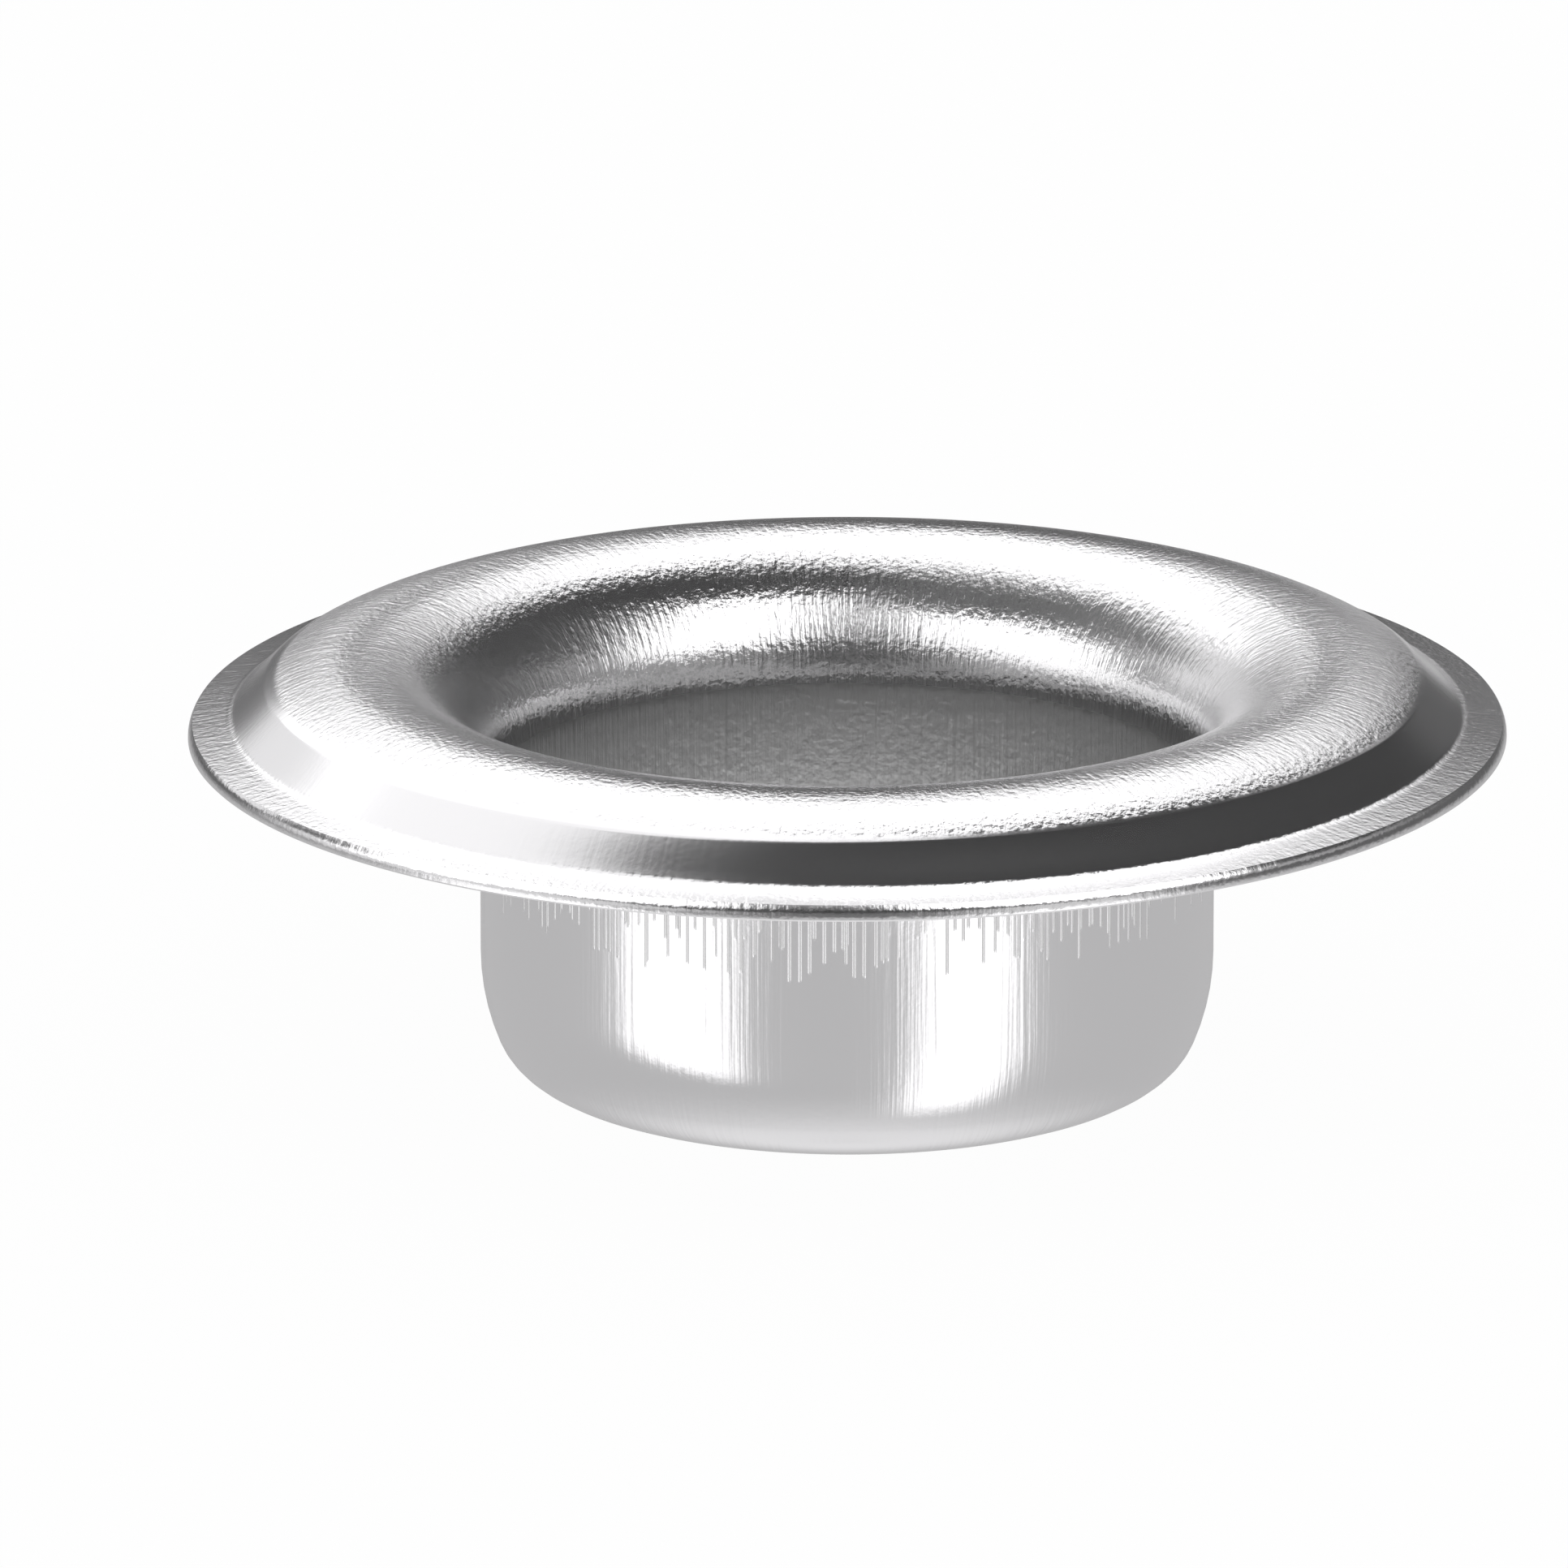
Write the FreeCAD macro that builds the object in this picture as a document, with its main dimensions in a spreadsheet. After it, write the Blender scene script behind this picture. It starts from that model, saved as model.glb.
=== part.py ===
import FreeCAD, Part
import math
import os

import Sketcher

# Grommet eyelet: one blanked, drawn, beaded and pierced piece of sheet metal.
# It stands on the curled-in end of its barrel, with the flange up. The origin is on the barrel's
# axis, in the plane that the barrel stands on. Sizes are in millimetres and degrees.
#
# Going inward from the blanked edge, the sheet makes a narrow rim that falls a little towards its
# edge and is coined thinner there, climbs a straight flank to a tight shoulder, runs over the
# broad crest of the bead, rolls down a funnel into the bore, runs straight down the barrel and
# curls in at the end, where the hole is pierced through the bottom of the drawn cup.

SIZES = [
    ("sheet_thickness", 0.25, "gauge of the sheet, the same all along up to the rim"),
    ("bore_diameter", 10.12, "inside of the straight barrel wall"),
    ("barrel_height", 4.98, "barrel end to the lower edge of the rim"),
    ("bead_height", 0.92, "start of the rim to the crest of the bead, on the upper face"),
    ("funnel_radius", 2.05, "roll from the crest of the bead down into the bore"),
    ("crest_radius", 2.3, "roll from the crest of the bead out to its shoulder"),
    ("shoulder_from_crest", 1.16, "crest of the bead to the start of the shoulder"),
    ("shoulder_radius", 0.35, "tight shoulder between the crest and the flank"),
    ("bead_foot_radius", 0.3, "inner corner where the flank meets the rim"),
    ("bead_slope_width", 1.845, "crest of the bead to the start of the rim"),
    ("rim_width", 0.57, "rim outside the bead"),
    ("rim_fall", 0.12, "fall of the rim's upper face from the bead to the blanked edge"),
    ("rim_edge_thickness", 0.2, "rim at its blanked edge, coined thinner than the sheet"),
    ("rim_upper_break", 0.06, "upper edge of the blanked rim"),
    ("rim_underside_break", 0.03, "lower edge of the blanked rim"),
    ("taper_start_height", 1.8, "where the barrel wall begins to draw in"),
    ("taper_radius", 3.2, "long curve by which the barrel wall draws in, outside"),
    ("curl_radius", 0.94, "tight curl at the end of the barrel, outside"),
    ("lip_width", 0.96, "sheet left inside the bore around the pierced hole"),
    ("pierced_edge_break", 0.03, "upper edge of the pierced hole"),
]

# Two measures closer than this are the same when an edge is looked for.
SAME_PLACE = 1e-4

# How a sketch numbers the points of a line or an arc, and its own origin and upright axis.
START, END, CENTRE = range(1, 4)
SKETCH_ORIGIN = -1
SKETCH_UPRIGHT = -2


def make_size_sheet(doc):
    """The driving dimensions, one to a row: name, value, what it is."""
    sheet = doc.addObject("Spreadsheet::Sheet", "Sizes")
    for row, (name, value, meaning) in enumerate(SIZES, start=1):
        sheet.set("A%d" % row, name)
        sheet.set("B%d" % row, str(value))
        sheet.set("C%d" % row, meaning)
        sheet.setAlias("B%d" % row, name)
    doc.recompute()
    return sheet


def origin_feature(body, role):
    """A plane or axis of the body's own origin."""
    for feature in body.Origin.OriginFeatures:
        if feature.Role == role:
            return feature
    raise ValueError("no origin feature " + role)


def new_sketch(body, name, plane_role):
    sketch = body.newObject("Sketcher::SketchObject", name)
    sketch.AttachmentSupport = [(origin_feature(body, plane_role), "")]
    sketch.MapMode = "FlatFace"
    return sketch


def size_constraint(sketch, name, expression, *definition):
    """Add a dimension, name it and bind it to the size sheet."""
    index = sketch.addConstraint(Sketcher.Constraint(*definition))
    sketch.renameConstraint(index, name)
    sketch.setExpression("Constraints." + name, expression)


def add_line(sketch, start, end):
    first = FreeCAD.Vector(start[0], start[1], 0)
    last = FreeCAD.Vector(end[0], end[1], 0)
    return sketch.addGeometry(Part.LineSegment(first, last), False)


def add_arc(sketch, centre, radius, from_degrees, to_degrees):
    """An arc drawn anticlockwise between two directions seen from its centre."""
    circle = Part.Circle(FreeCAD.Vector(centre[0], centre[1], 0), FreeCAD.Vector(0, 0, 1), radius)
    arc = Part.ArcOfCircle(circle, math.radians(from_degrees), math.radians(to_degrees))
    return sketch.addGeometry(arc, False)


def point_on_arc(centre, radius, degrees):
    angle = math.radians(degrees)
    return (centre[0] + radius * math.cos(angle), centre[1] + radius * math.sin(angle))


def line_slope(outer_end, centre, radius):
    """Slope of the line that runs from its outer end in and up to touch an arc from below."""
    inward = outer_end[0] - centre[0]
    up = centre[1] - outer_end[1]
    return math.degrees(math.atan2(up, inward) - math.asin(radius / math.hypot(inward, up)))


def first_layout(size):
    """Where the section's arc centres lie for the sizes on the sheet: radius, height, angle."""
    bore_radius = size.bore_diameter / 2
    outside_radius = bore_radius + size.sheet_thickness
    crest_at = bore_radius + size.funnel_radius
    rim_start_height = size.barrel_height + size.rim_edge_thickness + size.rim_fall
    crest_height = rim_start_height + size.bead_height
    crest = (crest_at, crest_height - size.crest_radius)

    # The rim falls away from the foot's arc in a straight line that touches it.
    rim_start = (crest_at + size.bead_slope_width, rim_start_height)
    rim_slope = math.degrees(math.atan2(size.rim_fall, size.rim_width - size.rim_upper_break))
    foot = point_on_arc(rim_start, size.bead_foot_radius, 90 - rim_slope)

    # The shoulder runs on from the crest, and the flank is the straight line that touches the
    # shoulder's arc and the foot's arc.
    shoulder_angle = math.degrees(math.acos(size.shoulder_from_crest / size.crest_radius))
    shoulder = point_on_arc(crest, size.crest_radius - size.shoulder_radius, shoulder_angle)
    between = math.dist(shoulder, foot)
    line_of_centres = math.atan2(foot[1] - shoulder[1], foot[0] - shoulder[0])
    leaning = math.acos((size.shoulder_radius + size.bead_foot_radius) / between)
    flank_angle = math.degrees(line_of_centres + leaning)

    # The wall draws in along a long arc that runs into the tight curl.
    taper = (outside_radius - size.taper_radius, size.taper_start_height)
    between = size.taper_radius - size.curl_radius
    drop = size.taper_start_height - size.curl_radius
    curl = (taper[0] + math.sqrt(between ** 2 - drop ** 2), size.curl_radius)
    curl_angle = math.degrees(math.atan2(-drop, curl[0] - taper[0]))

    return {
        "rim_start": rim_start, "foot": foot, "flank_angle": flank_angle,
        "shoulder": shoulder, "shoulder_angle": shoulder_angle,
        "crest": crest, "funnel": (crest_at, crest_height - size.funnel_radius),
        "taper": taper, "curl": curl, "curl_angle": curl_angle,
    }


def draw_surface(sketch, size, layout, depth, rim_edge):
    """One face of the sheet from the rim's edge to the axis; depth is 0 for the upper face and
    the sheet's thickness for the lower one. Returns the pieces in order, rim first."""
    foot_radius = size.bead_foot_radius + depth
    shoulder_radius = size.shoulder_radius - depth
    crest_radius = size.crest_radius - depth
    funnel_radius = size.funnel_radius - depth
    taper_radius = size.taper_radius - size.sheet_thickness + depth
    curl_radius = size.curl_radius - size.sheet_thickness + depth
    flank = layout["flank_angle"]
    shoulder = layout["shoulder_angle"]
    lean = layout["curl_angle"]

    foot_end = 270 - line_slope(rim_edge, layout["foot"], foot_radius)
    rim_start = point_on_arc(layout["foot"], foot_radius, foot_end)
    flank_foot = point_on_arc(layout["foot"], foot_radius, 180 + flank)
    flank_top = point_on_arc(layout["shoulder"], shoulder_radius, flank)
    wall_top = point_on_arc(layout["funnel"], funnel_radius, 180)
    wall_end = point_on_arc(layout["taper"], taper_radius, 0)
    web_start = point_on_arc(layout["curl"], curl_radius, 270)

    pieces = {}
    pieces["rim"] = add_line(sketch, rim_edge, rim_start)
    pieces["foot"] = add_arc(sketch, layout["foot"], foot_radius, 180 + flank, foot_end)
    pieces["flank"] = add_line(sketch, flank_foot, flank_top)
    pieces["shoulder"] = add_arc(sketch, layout["shoulder"], shoulder_radius, flank, shoulder)
    pieces["crest"] = add_arc(sketch, layout["crest"], crest_radius, shoulder, 90)
    pieces["funnel"] = add_arc(sketch, layout["funnel"], funnel_radius, 90, 180)
    pieces["wall"] = add_line(sketch, wall_top, wall_end)
    pieces["taper"] = add_arc(sketch, layout["taper"], taper_radius, lean, 0)
    pieces["curl"] = add_arc(sketch, layout["curl"], curl_radius, 270, 360 + lean)
    pieces["web"] = add_line(sketch, web_start, (0, web_start[1]))

    # Each piece runs smoothly into the next, and the named ends meet.
    joints = [
        ("rim", END, "foot", END),
        ("foot", START, "flank", START),
        ("flank", END, "shoulder", START),
        ("shoulder", END, "crest", START),
        ("crest", END, "funnel", START),
        ("funnel", END, "wall", START),
        ("wall", END, "taper", END),
        ("taper", START, "curl", END),
        ("curl", START, "web", START),
    ]
    for name, name_end, following, following_end in joints:
        sketch.addConstraint(Sketcher.Constraint(
            "Tangent", pieces[name], name_end, pieces[following], following_end))
    sketch.addConstraint(Sketcher.Constraint("Vertical", pieces["wall"]))
    sketch.addConstraint(Sketcher.Constraint("Horizontal", pieces["web"]))
    return pieces


def draw_section(body, size):
    """The closed section of the drawn cup: two faces a sheet's thickness apart, from the
    blanked edge of the rim to the axis."""
    sketch = new_sketch(body, "SheetSection", "XZ_Plane")
    layout = first_layout(size)
    outer_radius = layout["rim_start"][0] + size.rim_width
    rim_edge_top = size.barrel_height + size.rim_edge_thickness
    upper_start = (outer_radius - size.rim_upper_break, rim_edge_top)
    upper_corner = (outer_radius, rim_edge_top - size.rim_upper_break)
    lower_start = (outer_radius - size.rim_underside_break, size.barrel_height)
    lower_corner = (outer_radius, size.barrel_height + size.rim_underside_break)
    upper = draw_surface(sketch, size, layout, 0, upper_start)
    lower = draw_surface(sketch, size, layout, size.sheet_thickness, lower_start)
    upper_break = add_line(sketch, upper_corner, upper_start)
    lower_break = add_line(sketch, lower_start, lower_corner)
    edge = add_line(sketch, lower_corner, upper_corner)
    middle = add_line(sketch, (0, 0), (0, size.sheet_thickness))

    corners = [
        (edge, START, lower_break, END),
        (edge, END, upper_break, START),
        (lower_break, START, lower["rim"], START),
        (upper_break, END, upper["rim"], START),
        (middle, START, lower["web"], END),
        (middle, END, upper["web"], END),
        (middle, START, SKETCH_ORIGIN, START),
    ]
    for corner in corners:
        sketch.addConstraint(Sketcher.Constraint("Coincident", *corner))
    sketch.addConstraint(Sketcher.Constraint("PointOnObject", middle, END, SKETCH_UPRIGHT))
    sketch.addConstraint(Sketcher.Constraint("Vertical", edge))

    # The same centres on both faces, and parallel flanks, keep the sheet at one thickness.
    for name in ("foot", "shoulder", "crest", "funnel", "taper", "curl"):
        sketch.addConstraint(Sketcher.Constraint(
            "Coincident", upper[name], CENTRE, lower[name], CENTRE))
    sketch.addConstraint(Sketcher.Constraint("Parallel", upper["flank"], lower["flank"]))
    sketch.addConstraint(Sketcher.Constraint(
        "Vertical", upper["crest"], CENTRE, upper["funnel"], CENTRE))

    size_constraint(sketch, "thickness", "Sizes.sheet_thickness",
                    "DistanceY", lower["crest"], END, upper["crest"], END, size.sheet_thickness)
    size_constraint(sketch, "rim_edge_thickness", "Sizes.rim_edge_thickness", "DistanceY",
                    lower_break, START, upper_break, END, size.rim_edge_thickness)
    size_constraint(sketch, "upper_break_width", "Sizes.rim_upper_break", "DistanceX",
                    upper_break, END, upper_break, START, size.rim_upper_break)
    size_constraint(sketch, "upper_break_height", "Sizes.rim_upper_break", "DistanceY",
                    upper_break, START, upper_break, END, size.rim_upper_break)
    size_constraint(sketch, "lower_break_width", "Sizes.rim_underside_break", "DistanceX",
                    lower_break, START, lower_break, END, size.rim_underside_break)
    size_constraint(sketch, "lower_break_height", "Sizes.rim_underside_break", "DistanceY",
                    lower_break, START, lower_break, END, size.rim_underside_break)
    size_constraint(sketch, "bore_radius", "Sizes.bore_diameter / 2",
                    "DistanceX", SKETCH_ORIGIN, START, upper["wall"], START, size.bore_diameter / 2)
    size_constraint(sketch, "rim_underside", "Sizes.barrel_height",
                    "DistanceY", SKETCH_ORIGIN, START, lower_break, START, size.barrel_height)
    size_constraint(sketch, "bead_height", "Sizes.bead_height",
                    "DistanceY", upper["foot"], END, upper["crest"], END, size.bead_height)
    size_constraint(sketch, "funnel_radius", "Sizes.funnel_radius",
                    "Radius", upper["funnel"], size.funnel_radius)
    size_constraint(sketch, "crest_radius", "Sizes.crest_radius",
                    "Radius", upper["crest"], size.crest_radius)
    size_constraint(sketch, "shoulder_from_crest", "Sizes.shoulder_from_crest",
                    "DistanceX", upper["crest"], END, upper["crest"], START,
                    size.shoulder_from_crest)
    size_constraint(sketch, "shoulder_radius", "Sizes.shoulder_radius",
                    "Radius", upper["shoulder"], size.shoulder_radius)
    size_constraint(sketch, "bead_slope_width", "Sizes.bead_slope_width",
                    "DistanceX", upper["crest"], END, upper["foot"], END, size.bead_slope_width)
    size_constraint(sketch, "foot_radius", "Sizes.bead_foot_radius",
                    "Radius", upper["foot"], size.bead_foot_radius)
    size_constraint(sketch, "rim_width", "Sizes.rim_width",
                    "DistanceX", upper["rim"], END, edge, START, size.rim_width)
    size_constraint(sketch, "rim_fall", "Sizes.rim_fall",
                    "DistanceY", upper["rim"], START, upper["rim"], END, size.rim_fall)
    size_constraint(sketch, "taper_start", "Sizes.taper_start_height",
                    "DistanceY", SKETCH_ORIGIN, START, lower["wall"], END, size.taper_start_height)
    size_constraint(sketch, "taper_radius", "Sizes.taper_radius",
                    "Radius", lower["taper"], size.taper_radius)
    size_constraint(sketch, "curl_radius", "Sizes.curl_radius",
                    "Radius", lower["curl"], size.curl_radius)
    return sketch


def turn_section(body, sketch):
    """The drawn and beaded cup before its bottom is pierced."""
    cup = body.newObject("PartDesign::Revolution", "DrawnCup")
    cup.Profile = sketch
    cup.ReferenceAxis = (sketch, ["V_Axis"])
    cup.Angle = 360
    sketch.Visibility = False
    return cup


def pierce_bottom(body, size):
    """The hole punched through the bottom of the cup, which leaves the curled-in lip."""
    sketch = new_sketch(body, "PiercedHole", "XY_Plane")
    radius = size.bore_diameter / 2 - size.lip_width
    axis = FreeCAD.Vector(0, 0, 1)
    hole = sketch.addGeometry(Part.Circle(FreeCAD.Vector(0, 0, 0), axis, radius), False)
    sketch.addConstraint(Sketcher.Constraint("Coincident", hole, CENTRE, SKETCH_ORIGIN, START))
    size_constraint(sketch, "radius", "Sizes.bore_diameter / 2 - Sizes.lip_width",
                    "Radius", hole, radius)
    cut = body.newObject("PartDesign::Pocket", "Pierce")
    cut.Profile = sketch
    cut.Type = "ThroughAll"
    cut.Reversed = True
    sketch.Visibility = False
    return cut


def round_edges(shape, radius, height):
    """Names of the round edges of one radius at one height."""
    names = []
    for number, edge in enumerate(shape.Edges, start=1):
        if not isinstance(edge.Curve, Part.Circle):
            continue
        same_radius = abs(edge.Curve.Radius - radius) < SAME_PLACE
        same_height = abs(edge.Curve.Center.z - height) < SAME_PLACE
        if same_radius and same_height:
            names.append("Edge%d" % number)
    return names


def break_edge(body, base, name, size_name, radius, height):
    """Break a cut edge, as piercing leaves it."""
    names = round_edges(base.Shape, radius, height)
    if not names:
        raise RuntimeError("no edge for " + name)
    broken = body.newObject("PartDesign::Chamfer", name)
    broken.Base = (base, names)
    broken.setExpression("Size", "Sizes." + size_name)
    return broken


def make_eyelet(doc, size):
    body = doc.addObject("PartDesign::Body", "eyelet")
    body.Label = "eyelet"
    body.Placement = FreeCAD.Placement()

    section = draw_section(body, size)
    cup = turn_section(body, section)
    doc.recompute()
    pierced = pierce_bottom(body, size)
    doc.recompute()
    if pierced.Shape.Volume >= cup.Shape.Volume:
        raise RuntimeError("the pierced hole cuts nothing")

    hole_radius = size.bore_diameter / 2 - size.lip_width
    break_edge(body, pierced, "PiercedEdgeBreak", "pierced_edge_break",
               hole_radius, size.sheet_thickness)
    doc.recompute()
    return body


def check_document(doc, body):
    for item in doc.Objects:
        if "Invalid" in item.State or "Error" in item.State:
            raise RuntimeError(item.Name + " failed: " + ", ".join(item.State))
        if item.isDerivedFrom("Sketcher::SketchObject") and not item.FullyConstrained:
            raise RuntimeError(item.Name + " isn't held by its dimensions")
    if body.Shape.isNull() or not body.Shape.isValid():
        raise RuntimeError("the shape isn't sound")
    if len(body.Shape.Solids) != 1:
        raise RuntimeError("the eyelet isn't one solid")


def main():
    os.makedirs("parts", exist_ok=True)
    doc = FreeCAD.newDocument("grommet_eyelet")
    size = make_size_sheet(doc)
    eyelet = make_eyelet(doc, size)
    check_document(doc, eyelet)
    eyelet.Shape.exportStep(os.path.join("parts", eyelet.Label + ".step"))
    box = eyelet.Shape.optimalBoundingBox()
    print("eyelet: %.3f x %.3f x %.3f mm, lowest %.4f, volume %.2f mm3" % (
        box.XLength, box.YLength, box.ZLength, box.ZMin, eyelet.Shape.Volume))


main()
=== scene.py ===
import math

import bpy
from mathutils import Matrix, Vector


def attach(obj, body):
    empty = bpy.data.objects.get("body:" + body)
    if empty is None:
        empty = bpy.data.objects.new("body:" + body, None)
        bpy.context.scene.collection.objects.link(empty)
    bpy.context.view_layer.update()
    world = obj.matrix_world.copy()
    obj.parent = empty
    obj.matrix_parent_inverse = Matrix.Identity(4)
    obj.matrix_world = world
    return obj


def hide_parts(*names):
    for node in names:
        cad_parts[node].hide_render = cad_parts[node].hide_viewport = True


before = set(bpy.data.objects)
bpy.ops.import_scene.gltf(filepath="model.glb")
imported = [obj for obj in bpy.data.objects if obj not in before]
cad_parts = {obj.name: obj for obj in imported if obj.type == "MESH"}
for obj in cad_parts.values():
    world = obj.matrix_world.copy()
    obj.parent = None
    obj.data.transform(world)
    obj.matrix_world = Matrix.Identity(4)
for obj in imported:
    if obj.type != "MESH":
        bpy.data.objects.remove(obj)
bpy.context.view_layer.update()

# Grommet eyelet, drawn from one disc of bright aluminium sheet.
# The sheet is modelled in millimetres, one unit to a millimetre, and brought to metres at the end.
MM = 0.001

# Section of the sheet (radius and height from the barrel end)
SHEET = 0.25
BORE_RADIUS = 5.06
FUNNEL_RADIUS = 2.05
CREST_RADIUS = 2.3
CREST_HEIGHT = 6.22
CREST_AT = BORE_RADIUS + FUNNEL_RADIUS
SHOULDER_FROM_CREST = 1.25
SHOULDER_RADIUS = 0.35
SHOULDER_END = CREST_AT + 1.3
FOOT_RADIUS = 0.25
RIM_START = CREST_AT + 1.88
RIM_RADIUS = CREST_AT + 2.415
RIM_SEAT = 5.03
RIM_EDGE_THICKNESS = 0.23
RIM_FALL = 0.07
RIM_FALL_WIDTH = 0.475
EDGE_ROLL = 0.3
EDGE_ROLL_END = 38
EDGE_BREAK = 0.03
TAPER_START = 1.8
TAPER_RADIUS = 3.2
CURL_RADIUS = 0.94
HOLE_RADIUS = 4.1
BARREL_RADIUS = BORE_RADIUS + SHEET

# How far the press left the bead and the flange out of true
BEAD_SHIFT = -0.045
FLANGE_TILT = 0.0025
RIM_PITCH = 0.002

# Where the bead's shift and the flange's tilt set in
SHIFT_FULL_OUTSIDE = CREST_AT + 0.8
SHIFT_NONE_BELOW = RIM_SEAT - 1.6
SHIFT_FULL_ABOVE = CREST_HEIGHT - 0.3

AROUND = 384
SEAM_GAP = 0.004
SHARP_ANGLE = 40

# Camera: the photograph's angle, seen from far off through a long lens
CAMERA_ELEVATION = 16.2
CAMERA_DISTANCE = 0.3
FRAME_WIDTH = 0.022676
AIM = Vector((-0.000914, 0.0, 0.004264))
SENSOR = 36.0


# Section of the sheet

def arc(centre, radius, first, last, steps):
    """Points along an arc, from the first direction to the last."""
    points = []
    for step in range(steps + 1):
        angle = math.radians(first + (last - first) * step / steps)
        points.append((centre[0] + radius * math.cos(angle), centre[1] + radius * math.sin(angle)))
    return points


def between(first, last, steps):
    """Points on a straight run, its two ends left out."""
    points = []
    for step in range(1, steps):
        part = step / steps
        points.append((first[0] + (last[0] - first[0]) * part, first[1] + (last[1] - first[1]) * part))
    return points


def line_slope(outer_end, centre, radius):
    """Slope in degrees of the line from its outer end in and up to touch an arc from below."""
    inward = outer_end[0] - centre[0]
    up = centre[1] - outer_end[1]
    return math.degrees(math.atan2(up, inward) - math.asin(radius / math.hypot(inward, up)))


def arc_centres():
    """Centres of the section's arcs and the directions in which they meet."""
    rim_slope = math.atan2(RIM_FALL, RIM_FALL_WIDTH)
    foot = (RIM_START + FOOT_RADIUS * math.sin(rim_slope),
            RIM_SEAT + RIM_EDGE_THICKNESS + RIM_FALL + FOOT_RADIUS * math.cos(rim_slope))
    crest = (CREST_AT, CREST_HEIGHT - CREST_RADIUS)
    shoulder_angle = math.acos(SHOULDER_FROM_CREST / CREST_RADIUS)
    reach = CREST_RADIUS - SHOULDER_RADIUS
    shoulder = (crest[0] + reach * math.cos(shoulder_angle),
                crest[1] + reach * math.sin(shoulder_angle))
    line_of_centres = math.atan2(foot[1] - shoulder[1], foot[0] - shoulder[0])
    leaning = math.acos((SHOULDER_RADIUS + FOOT_RADIUS) / math.dist(shoulder, foot))
    taper = (BORE_RADIUS + SHEET - TAPER_RADIUS, TAPER_START)
    drop = TAPER_START - CURL_RADIUS
    reach = math.sqrt((TAPER_RADIUS - CURL_RADIUS) ** 2 - drop ** 2)
    return {
        "foot": foot, "shoulder": shoulder, "crest": crest,
        "funnel": (CREST_AT, CREST_HEIGHT - FUNNEL_RADIUS),
        "taper": taper, "curl": (taper[0] + reach, CURL_RADIUS),
        "flank": math.degrees(line_of_centres + leaning),
        "shoulder end": math.degrees(shoulder_angle),
        "lean": math.degrees(math.atan2(-drop, reach)),
    }


def sheet_face(depth, rim_edge, fineness):
    """One face of the sheet from the foot of the bead to the end of the barrel's curl."""
    at = arc_centres()
    foot_end = 270 - line_slope(rim_edge, at["foot"], FOOT_RADIUS + depth)
    foot = arc(at["foot"], FOOT_RADIUS + depth, foot_end, 180 + at["flank"], 5 * fineness)
    shoulder = arc(at["shoulder"], SHOULDER_RADIUS - depth, at["flank"], at["shoulder end"],
                   3 * fineness)
    crest = arc(at["crest"], CREST_RADIUS - depth, at["shoulder end"], 90, 6 * fineness)
    funnel = arc(at["funnel"], FUNNEL_RADIUS - depth, 90, 180, 20 * fineness)
    taper = arc(at["taper"], TAPER_RADIUS - SHEET + depth, 0, at["lean"], 5 * fineness)
    curl = arc(at["curl"], CURL_RADIUS - SHEET + depth, at["lean"], -90, 8 * fineness)
    face = foot + between(foot[-1], shoulder[0], 4) + shoulder + crest[1:] + funnel[1:]
    return face + between(funnel[-1], taper[0], 4 * fineness) + taper + curl[1:]


def whole_section():
    """The closed section of the sheet, from the blanked edge in along the upper face and back
    along the lower one."""
    rim_edge = (RIM_START + RIM_FALL_WIDTH, RIM_SEAT + RIM_EDGE_THICKNESS)
    lower_edge = (RIM_RADIUS - EDGE_BREAK, RIM_SEAT)
    upper = sheet_face(0, rim_edge, 2)
    lower = sheet_face(SHEET, lower_edge, 1)
    slope = math.atan2(RIM_FALL, RIM_FALL_WIDTH)
    roll_at = RIM_RADIUS - EDGE_ROLL
    corner = roll_at + EDGE_ROLL * math.cos(math.radians(EDGE_ROLL_END))
    corner_height = rim_edge[1] + (rim_edge[0] - corner) * math.tan(slope)
    roll = arc((roll_at, corner_height - EDGE_ROLL * math.sin(math.radians(EDGE_ROLL_END))),
               EDGE_ROLL, 0, EDGE_ROLL_END, 6)

    section = roll + between(roll[-1], upper[0], 6) + upper
    section += [(HOLE_RADIUS + EDGE_BREAK, SHEET), (HOLE_RADIUS, SHEET - EDGE_BREAK),
                (HOLE_RADIUS, SHEET / 2), (HOLE_RADIUS, EDGE_BREAK / 2),
                (HOLE_RADIUS + EDGE_BREAK / 2, 0)]
    section += lower[::-1]
    section += between(lower[0], lower_edge, 4)
    section += [lower_edge, (RIM_RADIUS, RIM_SEAT + EDGE_BREAK)]
    section.append(section[0])
    return section


# Drawing the sheet

def smooth_step(low, high, value):
    part = min(max((value - low) / (high - low), 0.0), 1.0)
    return part * part * (3 - 2 * part)


def bead_share(radius, height, outer_end):
    """How much of the bead's shift or tilt a ring takes: none at the rim's edge and down the barrel."""
    if radius > CREST_AT:
        return smooth_step(outer_end, SHIFT_FULL_OUTSIDE, radius)
    return smooth_step(SHIFT_NONE_BELOW, SHIFT_FULL_ABOVE, height)


def nothing_selected():
    if bpy.context.object and bpy.context.object.mode != "OBJECT":
        bpy.ops.object.mode_set(mode="OBJECT")
    bpy.ops.object.select_all(action="DESELECT")


def turn_ring(before, ring):
    """Tilt and pitch the selected ring from how the one before it lies to how it lies itself."""
    for axis, turn in (("Y", ring[3] - before[3]), ("X", before[4] - ring[4])):
        if turn:
            bpy.ops.transform.rotate(value=turn, orient_axis=axis,
                                     center_override=(ring[2], 0, ring[1]))


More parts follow.
